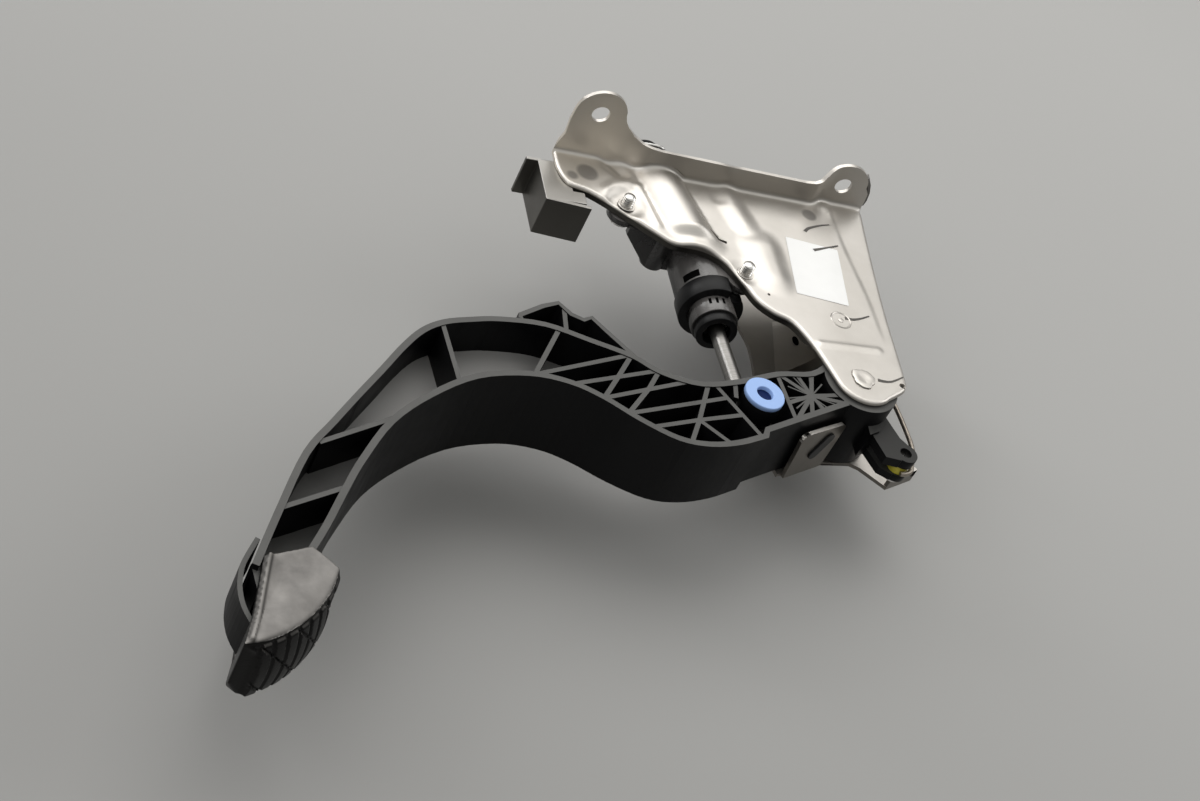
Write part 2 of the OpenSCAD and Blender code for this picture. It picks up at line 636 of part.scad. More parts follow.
module cylinder_spring() color(steel) from_pivot() {
    turns = 4;
    start = piston_front + 34.8;
    length = cap_y - start - 0.8;
    wire([for (i = [0 : 18 * turns]) let (a = i * 20)
        [-cyl_x + 6 * cos(a), start + length * i / (18 * turns), 6 * sin(a)]], 0.7, 8);
}

module push_rod() color(steel) from_pivot() {
    d = ball - rod_eye;
    length = norm(d);
    difference() {
        union() {
            at(rod_eye, -rod_half) cylinder(r = 9.8, h = 2 * rod_half);
            at(rod_eye) rotate([0, 0, atan2(d[1], d[0])]) rotate([0, 90, 0])
                cylinder(d = rod_d, h = length);
            at(ball) sphere(r = ball_r);
        }
        at(rod_eye, -rod_half - 1) cylinder(r = rod_pin_r + 1.2, h = 2 * rod_half + 2);
    }
}

module rod_eye_liner() color(blue) from_pivot() at(rod_eye, -rod_half)
    tube(rod_pin_r + 1.2, rod_pin_r + slip, 2 * rod_half);

module over_centre_spring() color(steel) from_pivot() {
    turn_step = 20;
    steps = oc_turns * 360 / turn_step;
    coil = [for (i = [0 : steps]) let (a = i * turn_step)
        [oc_at[0] + oc_r * cos(a), oc_at[1] + oc_r * sin(a), oc_top - oc_pitch * i * turn_step / 360]];
    low = oc_top - oc_pitch * oc_turns;
    hook_r = bush_r + oc_wire / 2 + 0.4;
    hook = [for (a = [-100 : 30 : -10]) [tail[0] + hook_r * cos(a), tail[1] + hook_r * sin(a), oc_top]];
    long_leg = [[30.4, -26, oc_top], [31.8, -17, oc_top], [30.6, 5, oc_top], [28.4, 20, oc_top]];
    foot_leg = [[7, 40, low], [7, 55, low], [7, 60.5, low - 0.5], [7, 62, low - 3], [7, 62, bottom]];
    wire(concat(hook, long_leg, coil, foot_leg), oc_wire / 2);
}

upper_bracket();
lower_bracket();
side_catch();
blank_label();
stop_buffer();
pivot_pin();
pivot_sleeve();
pivot_bush_upper();
pivot_bush_lower();
pedal_arm();
pad_cover();
rod_pin();
tail_pin();
tail_bush();
cylinder_body();
cylinder_collar();
guide_sleeve();
rod_guide_ring();
rear_union();
outlet_connector();
outlet_clip();
cylinder_stud_rear();
cylinder_stud_front();
piston();
primary_seal();
secondary_seal();
cylinder_spring();
push_rod();
rod_eye_liner();
over_centre_spring();
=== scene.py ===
import json
from math import cos, hypot, pi, radians, sin

import bmesh
import bpy
import numpy as np
from mathutils import Matrix, Vector
from mathutils.geometry import delaunay_2d_cdt

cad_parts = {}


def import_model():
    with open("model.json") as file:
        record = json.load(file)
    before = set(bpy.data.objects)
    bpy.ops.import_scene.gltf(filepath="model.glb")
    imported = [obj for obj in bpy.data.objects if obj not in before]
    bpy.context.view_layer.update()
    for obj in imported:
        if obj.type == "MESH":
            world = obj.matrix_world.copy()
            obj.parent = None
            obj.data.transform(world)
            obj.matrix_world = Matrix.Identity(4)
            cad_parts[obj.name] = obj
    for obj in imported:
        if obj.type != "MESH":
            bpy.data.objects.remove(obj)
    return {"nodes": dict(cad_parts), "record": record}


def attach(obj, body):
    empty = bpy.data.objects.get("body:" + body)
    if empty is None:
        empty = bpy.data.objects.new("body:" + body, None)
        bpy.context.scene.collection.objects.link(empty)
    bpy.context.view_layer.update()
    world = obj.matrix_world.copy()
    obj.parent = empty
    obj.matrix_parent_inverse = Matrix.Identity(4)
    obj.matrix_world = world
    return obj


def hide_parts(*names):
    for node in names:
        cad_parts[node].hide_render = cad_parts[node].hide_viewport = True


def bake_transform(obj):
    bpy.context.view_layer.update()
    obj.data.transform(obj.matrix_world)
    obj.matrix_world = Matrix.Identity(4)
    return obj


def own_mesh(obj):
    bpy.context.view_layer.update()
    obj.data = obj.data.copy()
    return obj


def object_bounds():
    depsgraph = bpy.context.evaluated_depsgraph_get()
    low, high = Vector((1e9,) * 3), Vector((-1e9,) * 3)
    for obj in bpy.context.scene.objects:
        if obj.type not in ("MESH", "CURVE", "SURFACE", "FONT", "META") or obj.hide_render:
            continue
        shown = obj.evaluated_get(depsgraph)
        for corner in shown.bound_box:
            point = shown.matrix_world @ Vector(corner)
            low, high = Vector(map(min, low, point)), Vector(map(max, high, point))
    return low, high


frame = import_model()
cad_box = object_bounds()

MM = 0.001
PIVOT = Vector((-0.018, -0.128, -0.032))

# Camera: where it stands, the point it looks at and its roll
CAMERA_AT = Vector((-0.5045, -0.7608, 0.5760))
CAMERA_AIM = Vector((-0.1323, -0.1194, -0.0600))
CAMERA_ROLL = radians(28.9)
LENS = 63.0

# Heights, in millimetres from the pivot
TOP = 20.0              # the flat of the upper plate
FLANGE_TOP = 34.0       # where the plate's relief has died out in the flange
LOWER_PLATE = -20.0     # the lower plate's upper side
WEB = 3.0               # just above the floor of the arm's trough

# Sizes, in millimetres
SHEET = 2.0             # thickness of the sheet
ROLL = 1.6              # round of its front edge
BEND = 2.5              # round at the foot of the flange
PIN_RADIUS = 5.0        # the pivot pin

# Places in plan, in millimetres from the pivot
CYLINDER_X = -60.0      # the cylinder's axis, which lies along Y
PIN_CENTRE = (-0.6, -0.8)       # the pivot pin, drawn a little beside its axis as its end shows
ROD_PIN = (-56.7, -19.4)
TAIL = (20.9, -31.2)
STAR = (-29.9, -13.5)
CLINCH = (-1.9, 37.8)
REAR_STUD = (-103.6, 95.2)
FRONT_STUD = (-47.6, 60.8)
EAR_HOLES = ((-122, 46), (18, 32))
EAR_HOLE_RADIUS = 4.5
EAR_RADIUS = 13

scene = bpy.context.scene
nodes = frame["nodes"]


def at_pivot(x, y, z):
    """A point given in millimetres from the pivot, in the frame."""
    return PIVOT + MM * Vector((x, y, z))


# Materials


class Shader:
    """A node material with a few short-cuts."""

    def __init__(self, name):
        self.mat = bpy.data.materials.new(name)
        self.mat.use_nodes = True
        self.tree = self.mat.node_tree
        self.bsdf = self.tree.nodes["Principled BSDF"]
        self.coords = self.add("ShaderNodeTexCoord").outputs["Object"]

    def add(self, kind, **settings):
        """A new node of this kind."""
        node = self.tree.nodes.new(kind)
        for key, value in settings.items():
            setattr(node, key, value)
        return node

    def link(self, source, target):
        """Joins an output to an input."""
        self.tree.links.new(source, target)

    def set(self, **values):
        """Plain values for the surface, with an underscore for each space in a name."""
        for key, value in values.items():
            self.bsdf.inputs[key.replace("_", " ")].default_value = value

    def wear(self, colour=None, rough=None, normal=None):
        """Gives the surface its colour, roughness and normal."""
        for source, name in ((colour, "Base Color"), (rough, "Roughness"), (normal, "Normal")):
            if source is not None:
                self.link(source, self.bsdf.inputs[name])

    def stretched(self, scale):
        """The object's coordinates, scaled per axis."""
        mapping = self.add("ShaderNodeMapping")
        mapping.inputs["Scale"].default_value = scale
        self.link(self.coords, mapping.inputs["Vector"])
        return mapping.outputs["Vector"]

    def noise(self, scale, detail=4.0, roughness=0.55, vector=None):
        """Cloudy noise, with its scale per metre."""
        tex = self.add("ShaderNodeTexNoise")
        tex.inputs["Scale"].default_value = scale
        tex.inputs["Detail"].default_value = detail
        tex.inputs["Roughness"].default_value = roughness
        self.link(vector or self.coords, tex.inputs["Vector"])
        return tex.outputs["Fac"]

    def ramp(self, fac, stops):
        """A colour that runs through the stops as the factor rises."""
        node = self.add("ShaderNodeValToRGB")
        band = node.color_ramp
        while len(band.elements) < len(stops):
            band.elements.new(0.5)
        for element, (place, colour) in zip(band.elements, stops):
            element.position = place
            element.color = (*colour, 1.0)
        self.link(fac, node.inputs["Fac"])
        return node.outputs["Color"]

    def remap(self, fac, low, high, start=0.3, end=0.7):
        """Runs from low to high while the factor runs from start to end."""
        node = self.add("ShaderNodeMapRange")
        node.inputs["From Min"].default_value = start
        node.inputs["From Max"].default_value = end
        node.inputs["To Min"].default_value = low
        node.inputs["To Max"].default_value = high
        self.link(fac, node.inputs["Value"])
        return node.outputs["Result"]

    def mixed(self, fac, first, second):
        """Two colours, each a socket or a plain colour, mixed by a factor."""
        node = self.add("ShaderNodeMix", data_type="RGBA")
        self.link(fac, node.inputs["Factor"])
        for colour, name in ((first, "A"), (second, "B")):
            socket = [s for s in node.inputs if s.name == name and s.type == "RGBA"][0]
            if isinstance(colour, tuple):
                socket.default_value = (*colour, 1.0)
            else:
                self.link(colour, socket)
        return [s for s in node.outputs if s.type == "RGBA"][0]

    def near(self, place, inner, outer):
        """One close to a point of the frame, nought far from it."""
        node = self.add("ShaderNodeVectorMath", operation="DISTANCE")
        self.link(self.coords, node.inputs[0])
        node.inputs[1].default_value = place
        return self.remap(node.outputs["Value"], 1.0, 0.0, inner * MM, outer * MM)

    def below(self, level):
        """One under a level of the frame, nought above it."""
        parts = self.add("ShaderNodeSeparateXYZ")
        self.link(self.coords, parts.inputs["Vector"])
        soft = 0.3 * MM
        return self.remap(parts.outputs["Z"], 1.0, 0.0, level - soft, level + soft)

    def along(self, way, start, end):
        """Rises from nought to one along a direction of the frame."""
        node = self.add("ShaderNodeVectorMath", operation="DOT_PRODUCT")
        self.link(self.coords, node.inputs[0])
        node.inputs[1].default_value = way
        return self.remap(node.outputs["Value"], 0.0, 1.0, start, end)

    def both(self, first, second):
        """The product of two factors."""
        node = self.add("ShaderNodeMath", operation="MULTIPLY")
        self.link(first, node.inputs[0])
        self.link(second, node.inputs[1])
        return node.outputs["Value"]

    def facing_up(self, start, end):
        """One on faces that look up, nought on the walls."""
        normal = self.add("ShaderNodeNewGeometry").outputs["Normal"]
        parts = self.add("ShaderNodeSeparateXYZ")
        self.link(normal, parts.inputs["Vector"])
        return self.remap(parts.outputs["Z"], 0.0, 1.0, start, end)

    def bump(self, height, strength, distance, after=None):
        """A normal bent by a height, on top of an earlier one."""
        node = self.add("ShaderNodeBump")
        node.inputs["Strength"].default_value = strength
        node.inputs["Distance"].default_value = distance
        self.link(height, node.inputs["Height"])
        if after is not None:
            self.link(after, node.inputs["Normal"])
        return node.outputs["Normal"]


# Marks left by heat on the plate: place in plan, inner and outer radius
HEAT_MARKS = ((0.6, 112.8, 3.2, 4.6), (-129.5, 109.5, 2.0, 3.6), (-121.0, 113.6, 4.6, 6.4))
HEAT_TONE = (0.34, 0.325, 0.31)
# Painted shade for the turned-down lip; below it, painted light and shade along the flange, paler at the
# left ear and darker in the middle
LIP_SHADE = (0.10, 0.095, 0.085)
FLAT_TONES = [(0.30, (0.60, 0.57, 0.53)), (0.55, (0.67, 0.64, 0.60)), (0.75, (0.72, 0.69, 0.65))]
FLANGE_LIGHT_AND_SHADE = [(0.12, (0.86, 0.80, 0.71)), (0.34, (0.42, 0.395, 0.36)), (0.8, (0.40, 0.375, 0.34)),
                (1.0, (0.54, 0.51, 0.47))]


def zinc_sheet(name, wall=None, flat=None):
    """Satin zinc-plated sheet with painted shade on its walls. Without a tone for its flat it is faintly
    warm and mottled, with heat marks. Without one for its walls it has painted light and shade along the
    flange and painted shade on its lip."""
    s = Shader(name)
    s.set(Metallic=1.0)
    if flat is None:
        flat = s.ramp(s.noise(22.0, 5.0, 0.6), FLAT_TONES)
        for x, y, inner, outer in HEAT_MARKS:
            flat = s.mixed(s.near(at_pivot(x, y, TOP), inner, outer), flat, HEAT_TONE)
    # Faces that don't look up get painted shade: the flange's painted light and shade, or the given darker
    # wall tone
    flange = s.ramp(s.along((1, 0, 0), -0.16, 0.02), FLANGE_LIGHT_AND_SHADE) if wall is None else wall
    colour = s.mixed(s.facing_up(0.15, 0.70), flange, flat)
    # Painted shade on the lip below the rolled front edge
    if wall is None:
        colour = s.mixed(s.below(at_pivot(0, 0, TOP - ROLL - 0.1).z), colour, LIP_SHADE)
    grain = s.bump(s.noise(900.0, 3.0, 0.6), 0.2, 0.00005)
    s.wear(colour, s.remap(s.noise(55.0, 4.0, 0.6), 0.36, 0.45),
           s.bump(s.noise(16.0, 2.0, 0.5), 0.15, 0.0008, grain))
    return s.mat


def bright_steel():
    """Plated steel of studs, pins and clips."""
    s = Shader("bright_steel")
    s.set(Metallic=1.0)
    s.wear(s.ramp(s.noise(60.0), [(0.3, (0.70, 0.69, 0.67)), (0.7, (0.82, 0.81, 0.79))]),
           s.remap(s.noise(220.0), 0.22, 0.34), s.bump(s.noise(700.0), 0.15, 0.00004))
    return s.mat


def rod_steel():
    """Ground rod, with fine lines round it."""
    s = Shader("rod_steel")
    s.set(Metallic=1.0, Roughness=0.34)
    lines = s.noise(1.0, 2.0, 0.5, s.stretched((60.0, 2600.0, 60.0)))
    s.wear(s.ramp(lines, [(0.3, (0.19, 0.185, 0.175)), (0.7, (0.28, 0.27, 0.26))]),
           normal=s.bump(lines, 0.2, 0.00004))
    return s.mat


def spring_steel():
    """Dark drawn wire."""
    s = Shader("spring_steel")
    s.set(Metallic=0.9)
    s.wear(s.ramp(s.noise(120.0), [(0.3, (0.20, 0.17, 0.145)), (0.7, (0.40, 0.36, 0.31))]),
           s.remap(s.noise(300.0), 0.32, 0.48), s.bump(s.noise(900.0), 0.2, 0.00004))
    return s.mat


def moulding(name, low, high, rough, grain_scale=1500.0, grain=0.25, specular=0.5, top=None, mottle=0.85,
             tilt=(0.55, 0.97), shaded=None, lit_floor=None):
    """A moulded plastic or rubber with a fine grain. Faces that look up can carry a painted highlight,
    with painted shade at one place and stronger painted light on a low floor near another."""
    s = Shader(name)
    s.set(Specular_IOR_Level=specular)
    colour = s.ramp(s.noise(35.0), [(0.3, low), (0.7, high)])
    if top:
        # Paler tone on faces that look up: a painted highlight
        pale = s.ramp(s.noise(60.0), [(0.3, tuple(mottle * c for c in top)), (0.7, top)])
        if shaded:
            # Painted shade near one place
            pale = s.mixed(s.near(*shaded), pale, tuple(0.35 * c for c in top))
        if lit_floor:
            # Stronger painted light on the low floor near another place
            place, inner, outer, tone = lit_floor
            pale = s.mixed(s.both(s.below(place.z), s.near(place, inner, outer)), pale, tone)
        colour = s.mixed(s.facing_up(*tilt), colour, pale)
    s.wear(colour, s.remap(s.noise(70.0), rough - 0.05, rough + 0.06),
           s.bump(s.noise(grain_scale, 3.0, 0.6), grain, 0.00006))
    return s.mat


def label_film():
    """White film, slightly uneven."""
    s = Shader("label_film")
    s.set(Roughness=0.38)
    s.wear(s.ramp(s.noise(40.0), [(0.3, (0.86, 0.86, 0.85)), (0.7, (0.92, 0.92, 0.91))]),
           normal=s.bump(s.noise(90.0, 3.0), 0.3, 0.0002))
    return s.mat


# The dark walls of the first sheet are painted shade; the third is a darker copy of the zinc with painted
# shade all over, for the side catch and the ear fold
ZINC = zinc_sheet("zinc_sheet", wall=(0.20, 0.185, 0.165))
LIP_ZINC = zinc_sheet("zinc_sheet_with_lip")
SHADED_ZINC = zinc_sheet("zinc_painted_shade", wall=(0.12, 0.115, 0.105), flat=(0.385, 0.374, 0.3575))
STEEL = bright_steel()
ROD = rod_steel()
SPRING = spring_steel()
# The arm's paler up-facing tone is a painted highlight on its rim tops, with painted shade on the tail and
# stronger painted light on the web near the bend
ARM = moulding("arm_nylon", (0.0025, 0.0025, 0.0028), (0.0045, 0.0045, 0.005), 0.46, specular=0.16,
               top=(0.115, 0.114, 0.110), shaded=(at_pivot(19, -27, 3), 15, 22),
               lit_floor=(at_pivot(-215, -10, WEB), 45, 90, (0.26, 0.256, 0.25)))
RUBBER = moulding("stop_rubber", (0.020, 0.019, 0.019), (0.030, 0.029, 0.028), 0.42)
# The pad's paler top is a painted reflection
PAD = moulding("pad_rubber", (0.0032, 0.003, 0.003), (0.006, 0.0057, 0.0055), 0.36, 800.0, 1.0,
               specular=0.15, top=(0.33, 0.315, 0.30), mottle=0.45)
# The housing's paler upper side is a painted highlight
HOUSING = moulding("housing_nylon", (0.010, 0.0093, 0.009), (0.016, 0.0148, 0.0145), 0.26, specular=0.9,
                   top=(0.15, 0.142, 0.138), mottle=0.6, tilt=(-0.1, 0.75))
BLACK = moulding("black_nylon", (0.003, 0.003, 0.0035), (0.006, 0.006, 0.0065), 0.42, specular=0.25)
BLUE = moulding("blue_nylon", (0.31, 0.47, 0.83), (0.34, 0.51, 0.88), 0.38)
# A darker copy of the blue: painted shade for the bottom of the pin's bore
BORE_SHADE_BLUE = moulding("blue_nylon_bore_shade", (0.005, 0.014, 0.07), (0.006, 0.018, 0.085), 0.5, specular=0.08)
YELLOW = moulding("greased_nylon", (0.42, 0.34, 0.02), (0.62, 0.55, 0.06), 0.35)
# Painted shade standing in for slits in the sheet
SLIT_SHADE_TONE = moulding("slit_shade", (0.055, 0.050, 0.045), (0.11, 0.10, 0.09), 0.55)
# Near-black painted shade for slots and recesses that are not cut
RECESS_SHADE = moulding("recess", (0.0012, 0.0012, 0.0012), (0.002, 0.002, 0.002), 0.7, specular=0.02)
LABEL = label_film()

SLOT_MATERIAL = {"zinc_steel": ZINC, "label": LABEL, "rubber": RUBBER, "bright_steel": STEEL,
                 "spring_steel": SPRING, "alloy": STEEL, "arm_plastic": ARM, "housing_plastic": HOUSING,
                 "black_plastic": BLACK, "blue_plastic": BLUE, "yellow_plastic": YELLOW}
SLOT_OF = {part["node"]: part["material_slot"] for part in frame["record"]["subparts"]}


def round_edges(obj, width, angle):
    """A small round, in millimetres, on edges that turn by more than an angle in degrees."""
    edge = obj.modifiers.new("edge", "BEVEL")
    edge.width = width * MM
    edge.segments = 2
    edge.limit_method = "ANGLE"
    edge.angle_limit = radians(angle)
    edge.harden_normals = True


def dress(name, material, bevel=0.0):
    """Gives a CAD node its material, and a small round on its edges."""
    obj = nodes[name]
    obj.data.materials.clear()
    obj.data.materials.append(material)
    if bevel:
        weld = obj.modifiers.new("weld", "WELD")
        weld.merge_threshold = 1e-6
        round_edges(obj, bevel, 35)


for name in nodes:
    dress(name, SLOT_MATERIAL[SLOT_OF[name]])
dress("push_rod", ROD)
dress("side_catch", SHADED_ZINC, 0.5)
dress("lower_bracket", ZINC, 0.3)
dress("pedal_arm", ARM, 0.35)
dress("rod_pin", BLUE, 0.5)
dress("stop_buffer", BLACK, 0.3)
for name in ("cylinder_body", "cylinder_collar", "guide_sleeve", "rod_guide_ring", "outlet_connector"):
    dress(name, SLOT_MATERIAL[SLOT_OF[name]], 0.4)


# Plan geometry, in millimetres from the pivot


def smooth(points, steps=4):
    """A smooth line through the points."""
    out = []
    last = len(points) - 1
    for i in range(last):
        a, b, c, d = (np.array(points[max(0, min(last, k))], float) for k in (i - 1, i, i + 1, i + 2))
        for j in range(steps):
            t = j / steps
            p = 0.5 * (2 * b + (c - a) * t + (2 * a - 5 * b + 4 * c - d) * t * t
                       + (3 * b - a - 3 * c + d) * t * t * t)
            out.append(tuple(p))
    return out + [tuple(points[-1])]


def spaced(line, step):
    """The same line with its points about one step apart."""
    out = [line[0]]
    for a, b in zip(line, line[1:]):
        count = max(1, round(hypot(b[0] - a[0], b[1] - a[1]) / step))
        out += [(a[0] + (b[0] - a[0]) * k / count, a[1] + (b[1] - a[1]) * k / count)
                for k in range(1, count + 1)]
    return out


def arc(centre, radius, start, end, count):
    """Points on a circle, between two angles in degrees."""
    angles = (radians(start + (end - start) * k / count) for k in range(count + 1))
    return [(centre[0] + radius * cos(a), centre[1] + radius * sin(a)) for a in angles]


def hole(centre, radius, count=32):
    """A closed circle of points."""
    return arc(centre, radius, 0, 360, count)[:-1]


def inside(x, y, loop):
    """Which of the points lie inside a closed loop."""
    hit = np.zeros(len(x), bool)
    for (x0, y0), (x1, y1) in zip(loop, loop[1:] + loop[:1]):
        if y0 != y1:
            hit ^= ((y0 > y) != (y1 > y)) & (x < (x1 - x0) * (y - y0) / (y1 - y0) + x0)
    return hit


def distance(x, y, line):
    """How far the points lie from a line."""
    best = np.full(len(x), 1e9)
    for (x0, y0), (x1, y1) in zip(line, line[1:]):
        dx, dy = x1 - x0, y1 - y0
        t = np.clip(((x - x0) * dx + (y - y0) * dy) / (dx * dx + dy * dy), 0, 1)
        best = np.minimum(best, np.hypot(x - x0 - t * dx, y - y0 - t * dy))
    return best


def step_up(value, low, high):
    """Rises smoothly from nought at low to one at high."""
    t = np.clip((value - low) / (high - low), 0, 1)
    return t * t * (3 - 2 * t)


def inner_rings(outline, gaps):
    """Rows of points beside the outline, at the given gaps inside it."""
    pts = np.array(outline)
    ahead = np.roll(pts, -1, 0) - np.roll(pts, 1, 0)
    normal = np.stack([-ahead[:, 1], ahead[:, 0]], 1) / np.linalg.norm(ahead, axis=1)[:, None]
    closed = outline + outline[:1]
    rows = []
    for gap in gaps:
        row = pts + gap * normal
        keep = distance(row[:, 0], row[:, 1], closed) > 0.93 * gap
        rows += [tuple(p) for p in row[keep & inside(row[:, 0], row[:, 1], outline)]]
    return rows


def filled(outline, holes, step, gaps=()):
    """Triangles that fill an outline that runs anticlockwise, finer along its edge."""
    points, edges = [], []
    for loop in [outline] + holes:
        start = len(points)
        points += loop
        edges += [(start + i, start + (i + 1) % len(loop)) for i in range(len(loop))]
    low, high = np.min(outline, 0), np.max(outline, 0)
    gx, gy = np.meshgrid(np.arange(low[0], high[0], step), np.arange(low[1], high[1], step))
    gx = (gx + 0.5 * step * (np.arange(gx.shape[0]) % 2)[:, None]).ravel()
    gy = gy.ravel()
    keep = inside(gx, gy, outline)
    keep &= distance(gx, gy, outline + outline[:1]) > max(gaps, default=0) + 0.6 * step
    for loop in holes:
        keep &= ~inside(gx, gy, loop) & (distance(gx, gy, loop + loop[:1]) > 0.5 * step)
    points += inner_rings(outline, gaps) + list(zip(gx[keep], gy[keep]))
    result = delaunay_2d_cdt([Vector(p) for p in points], edges, [], 1, 1e-5)
    verts = np.array([tuple(v) for v in result[0]])
    faces = np.array(result[2])
    middle = verts[faces].mean(axis=1)
    good = inside(middle[:, 0], middle[:, 1], outline)
    for loop in holes:
        good &= ~inside(middle[:, 0], middle[:, 1], loop)
    where = {old: new for new, olds in enumerate(result[3]) for old in olds}
    return verts, [tuple(int(i) for i in f) for f in faces[good]], where


# New pieces


def piece(name, verts, faces, material, body, bevel=0.0, solid=0.0):
    """A mesh piece from points in millimetres from the pivot. It rides on the body, if one is given."""
    mesh = bpy.data.meshes.new(name)
    mesh.from_pydata([at_pivot(*v) for v in verts], [], faces)
    bm = bmesh.new()
    bm.from_mesh(mesh)
    bmesh.ops.remove_doubles(bm, verts=bm.verts, dist=5e-6)
    loose = [v for v in bm.verts if not v.link_faces]
    bmesh.ops.delete(bm, geom=loose, context="VERTS")
    bm.to_mesh(mesh)
    bm.free()
    mesh.shade_smooth()
    mesh.set_sharp_from_angle(angle=radians(38))
    mesh.materials.append(material)
    obj = bpy.data.objects.new(name, mesh)
    scene.collection.objects.link(obj)
    if solid:
        wall = obj.modifiers.new("wall", "SOLIDIFY")
        wall.thickness = solid * MM
        wall.offset = -1.0
        wall.use_even_offset = False
    if bevel:
        round_edges(obj, bevel, 50)
    if body:
        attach(obj, body)
    return obj


def tube_faces(rings, sides):
    """The faces of a closed tube made of rings of points, with its two ends."""
    faces = []
    for i in range(rings - 1):
        for k in range(sides):
            m = (k + 1) % sides
            faces.append((i * sides + k, i * sides + m, (i + 1) * sides + m, (i + 1) * sides + k))
    faces.append(tuple(range(sides - 1, -1, -1)))
    faces.append(tuple((rings - 1) * sides + k for k in range(sides)))
    return faces


def wire_mesh(points, radius, sides=12):
    """A round wire along points."""
    path = [Vector(p) for p in points]
    last = len(path) - 1
    verts = []
    for i, spot in enumerate(path):
        way = (path[min(i + 1, last)] - path[max(i - 1, 0)]).normalized()
        guide = Vector((1, 0, 0)) if abs(way.z) > 0.9 else Vector((0, 0, 1))
        u = guide.cross(way).normalized()
        v = way.cross(u)
        for k in range(sides):
            a = 2 * pi * k / sides
            verts.append(tuple(spot + radius * (cos(a) * u + sin(a) * v)))
    return verts, tube_faces(len(path), sides)


def lathe(profile, centre, sides, wobble=None):
    """A turned shape about an upright axis, from pairs of radius and height."""
    verts = []
    for radius, height in profile:
        for k in range(sides):
            a = 2 * pi * k / sides
            r = radius * (wobble(a, height) if wobble else 1.0)
            verts.append((centre[0] + r * cos(a), centre[1] + r * sin(a), height))
    return verts, tube_faces(len(profile), sides)


def side_lines(line, widths):
    """The left and right side of a plan line that has a width at each point."""
    left, right = [], []
    last = len(line) - 1
    for i, (x, y) in enumerate(line):
        ax, ay = line[max(0, i - 1)]
        bx, by = line[min(last, i + 1)]
        size = 2 * hypot(bx - ax, by - ay) / widths[i]
        left.append((x - (by - ay) / size, y + (bx - ax) / size))
        right.append((x + (by - ay) / size, y - (bx - ax) / size))
    return left, right


# The pressed sheet of the upper bracket

# The front edge in plan, from the left end to the right one
FRONT = ([(-137, 126)]
         + smooth([(-137, 124), (-136.5, 113), (-132.5, 103.5), (-122, 100), (-108, 91), (-90, 77.5),
                   (-82, 72.8), (-68, 72.2), (-58, 67), (-52, 57), (-46, 43), (-38, 35.5), (-29.5, 31),
                   (-22.5, 18), (-17.5, 3)])
         + arc((0, 0), 16, 200, 315, 12)
         + smooth([(18, -7), (22.6, -2.5), (24.2, 5), (25.6, 30), (27.6, 60), (31, 95), (34, 121)], 5)[1:]
         + [(34, 126)])
# The slit beside the first bulge, wider towards its end
SLIT = [(-67.9, 108), (-66.8, 101), (-65.2, 93.5), (-62, 86.5), (-57.5, 81.2), (-53.5, 79.8)]
SLIT_WIDTH = [0.3, 0.5, 0.8, 1.0, 1.3, 2.0]


# Soft ridges: the line along the top, the half width, the height
RIDGES = (([(-94.5, 110), (-89.5, 84)], 3.6, 1.0),
          ([(-112, 103), (-106, 108.5), (-100, 111)], 6, 0.9),
          ([(-46, 121), (-44, 108), (-40.5, 96)], 10, 1.5),
          ([(-50, 121), (-50, 112)], 6, -0.6),
          ([(-18, 19.2), (14, 20.8)], 2.8, 0.55),
          ([(7, 126), (10, 122)], 6, 0.8),
          ([(-108, 124), (-103, 118)], 7, -1.6))

# Round dents: the place, the outer radius, the radius of the flat bottom, the depth
DENTS = (((-104, 96), 12, 6, 1.3), (FRONT_STUD, 10, 4, 0.8))


def flange_face(x):
    """How far in front of the pivot the flange's face stands."""
    return 126 - 4.2 * step_up(x, -104, -90) + 4.2 * step_up(x, 1, 12)


def relief(x, y):
    """The pressed shapes of the plate, above its plane."""
    middle = -79.5 + 0.27 * (112 - y)
    across = np.clip(1 - ((x - middle) / 13.0) ** 2, 0, 1)
    bulge = 5.0 * across * step_up(y, 77, 84.5)
    nose = 1.6 * step_up(-np.hypot((x + 69) / 16, (y - 76) / 10), -1, -0.2) * step_up(x, -88, -74)
    swell = 2.0 * step_up(-distance(x, y, [(-33, 80), (-32, 62)]), -16, -1) * step_up(-x, 20, 30)
    edge_line = 14 + 4.3 * step_up(-y, -105, -45)
    step = -0.3 * step_up(x - edge_line, 0, 1.6) * step_up(y, 24, 40)
    z = bulge + nose + swell + step
    for line, width, height in RIDGES:
        z += height * step_up(-distance(x, y, line), -width, 0)
    for (px, py), outer, inner, depth in DENTS:
        z -= depth * step_up(-np.hypot(x - px, y - py), -outer, -inner)
    return z


def sheet_top(x, y):
    """The height of the sheet's upper side, with its rolled front edge and the bend at the flange."""
    edge = np.clip(ROLL - distance(x, y, FRONT), 0, ROLL)
    rear = np.clip(BEND - (flange_face(x) - y), 0, BEND)
    return (TOP + relief(x, y) - ROLL + np.sqrt(ROLL ** 2 - edge ** 2)
            + BEND - np.sqrt(BEND ** 2 - rear ** 2))


def lip_depth(x, y):
    """How far the front edge is turned down below the plate's plane."""
    least = ROLL + 0.1
    if x > 20:
        return 20.0 * float(step_up(y, 36, 50)) * float(step_up(-y, -122, -118)) + least
    if y < 22:
        return least + 2.8 * float(step_up(y, 15.5, 23))
    return least + 2.8 * float(step_up(x, -134, -129))


